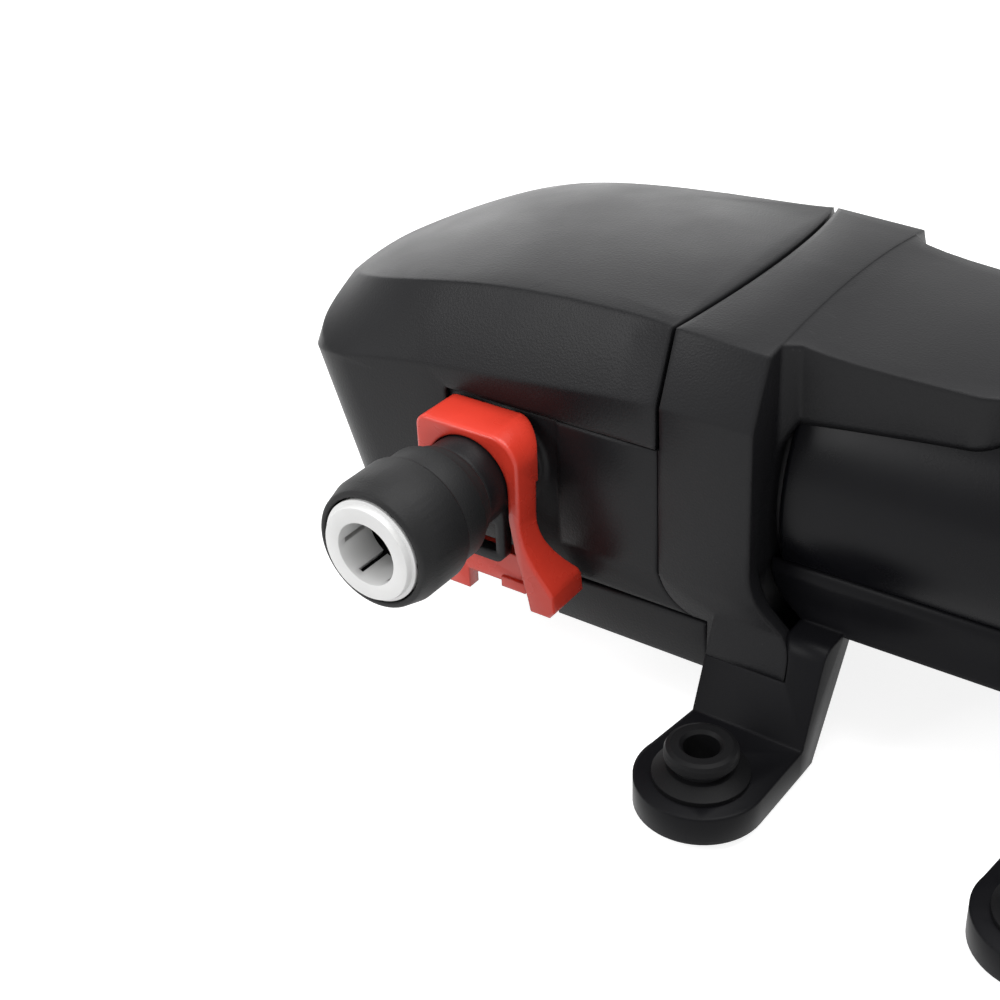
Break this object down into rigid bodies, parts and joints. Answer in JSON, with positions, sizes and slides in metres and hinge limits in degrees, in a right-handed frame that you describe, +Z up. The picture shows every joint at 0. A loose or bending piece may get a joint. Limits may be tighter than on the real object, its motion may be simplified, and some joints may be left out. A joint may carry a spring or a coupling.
{
  "type": "diaphragm water pump",
  "caption": "Caravan water pump: black cased head and motor on a rubber-footed base, push-in pipe connectors with red slide clips.",
  "frame": {"origin": "on the ground in the middle of the four mounting holes", "axes": "+Z up; +X from the pump head to the motor's rear; outlet port towards -Y, inlet port towards +Y"},
  "size_m": [0.2045, 0.153, 0.0803],
  "materials": {
    "housing_plastic": "satin black",
    "fitting_plastic": "fine matte black",
    "collet_plastic": "glossy, slightly translucent white",
    "clip_plastic": "satin orange-red",
    "rubber": "matte",
    "seal_rubber": "satin",
    "motor_paint": "satin black paint",
    "steel": "ground",
    "zinc_steel": "zinc plated",
    "core_steel": "stamped",
    "copper": "enamelled",
    "bronze": "sintered",
    "ferrite": "dull grey",
    "carbon": "dull",
    "inner_plastic": "natural white",
    "switch_case": "matte black"
  },
  "bodies": {
    "housing": {"front_cover": "housing_plastic", "pump_head": "housing_plastic", "head_tray": "housing_plastic", "mid_housing": "housing_plastic", "base_frame": "housing_plastic", "grommet_front_right": "rubber", "grommet_front_left": "rubber", "grommet_rear_right": "rubber", "grommet_rear_left": "rubber", "cable_gland": "rubber", "motor_can": "motor_paint", "motor_end_cap": "motor_paint", "motor_front_plate": "zinc_steel", "head_screws": "zinc_steel", "motor_screws": "zinc_steel", "cover_screws": "zinc_steel", "tray_screws": "zinc_steel", "base_screws": "zinc_steel", "switch_screws": "zinc_steel", "brush_springs": "zinc_steel", "switch_spring": "zinc_steel", "field_magnets": "ferrite", "front_bush": "bronze", "rear_bush": "bronze", "brushes": "carbon", "brush_carrier": "inner_plastic", "valve_plate": "inner_plastic", "diaphragm": "seal_rubber", "valve_seals": "seal_rubber", "inlet_valves": "seal_rubber", "outlet_valve": "seal_rubber", "switch_diaphragm": "seal_rubber", "switch_housing": "switch_case", "microswitch": "switch_case", "switch_adjuster": "bronze"},
    "rotor": {"motor_shaft": "steel", "armature_core": "core_steel", "armature_winding": "copper", "commutator": "copper", "eccentric_cam": "steel", "bearing_inner_ring": "steel", "bearing_balls": "steel"},
    "wobble": {"wobble_plate": "inner_plastic", "bearing_outer_ring": "steel", "piston_caps": "inner_plastic", "piston_screws": "zinc_steel"},
    "outlet_connector": {"outlet_connector_body": "fitting_plastic", "outlet_connector_cap": "fitting_plastic", "outlet_stem_seal": "seal_rubber", "outlet_pipe_seal": "seal_rubber"},
    "outlet_collet": {"outlet_release_collet": "collet_plastic"},
    "outlet_clip": {"outlet_slide_clip": "clip_plastic"},
    "inlet_connector": {"inlet_connector_body": "fitting_plastic", "inlet_connector_cap": "fitting_plastic", "inlet_stem_seal": "seal_rubber", "inlet_pipe_seal": "seal_rubber"},
    "inlet_collet": {"inlet_release_collet": "collet_plastic"},
    "inlet_clip": {"inlet_slide_clip": "clip_plastic"},
    "plunger": {"switch_plunger": "inner_plastic"},
    "button": {"microswitch_button": "clip_plastic"}
  },
  "joints": [
    {"name": "rotor_spin", "type": "hinge", "parent": "housing", "child": "rotor", "pos_m": [-0.045, 0, 0.0455], "axis": [1, 0, 0], "continuous": true},
    {"name": "wobble_rock", "type": "hinge", "parent": "housing", "child": "wobble", "pos_m": [-0.04415, 0, 0.0455], "axis": [0, 1, 0], "range_deg": [-2, 2], "stiffness_Nm_per_rad": 2},
    {"name": "outlet_connector_swivel", "type": "hinge", "parent": "housing", "child": "outlet_connector", "pos_m": [-0.08685, -0.04, 0.045], "axis": [0, 1, 0], "continuous": true},
    {"name": "outlet_collet_release", "type": "slide", "parent": "outlet_connector", "child": "outlet_collet", "axis": [0, 1, 0], "range_m": [0, 0.0015]},
    {"name": "outlet_clip_lift", "type": "slide", "parent": "housing", "child": "outlet_clip", "axis": [0, 0, 1], "range_m": [0, 0.007]},
    {"name": "inlet_connector_swivel", "type": "hinge", "parent": "housing", "child": "inlet_connector", "pos_m": [-0.08685, 0.04, 0.045], "axis": [0, -1, 0], "continuous": true},
    {"name": "inlet_collet_release", "type": "slide", "parent": "inlet_connector", "child": "inlet_collet", "axis": [0, -1, 0], "range_m": [0, 0.0015]},
    {"name": "inlet_clip_lift", "type": "slide", "parent": "housing", "child": "inlet_clip", "axis": [0, 0, 1], "range_m": [0, 0.007]},
    {"name": "plunger_lift", "type": "slide", "parent": "housing", "child": "plunger", "axis": [0, 0, 1], "range_m": [0, 0.0008], "stiffness_N_per_m": 800, "springref_m": -0.001, "deforming": ["switch_spring"]},
    {"name": "button_press", "type": "slide", "parent": "housing", "child": "button", "axis": [0, 0, 1], "range_m": [0, 0.0008]}
  ],
  "couplings": [
    {"joint": "button_press", "follows": "plunger_lift", "ratio": 1}
  ]
}
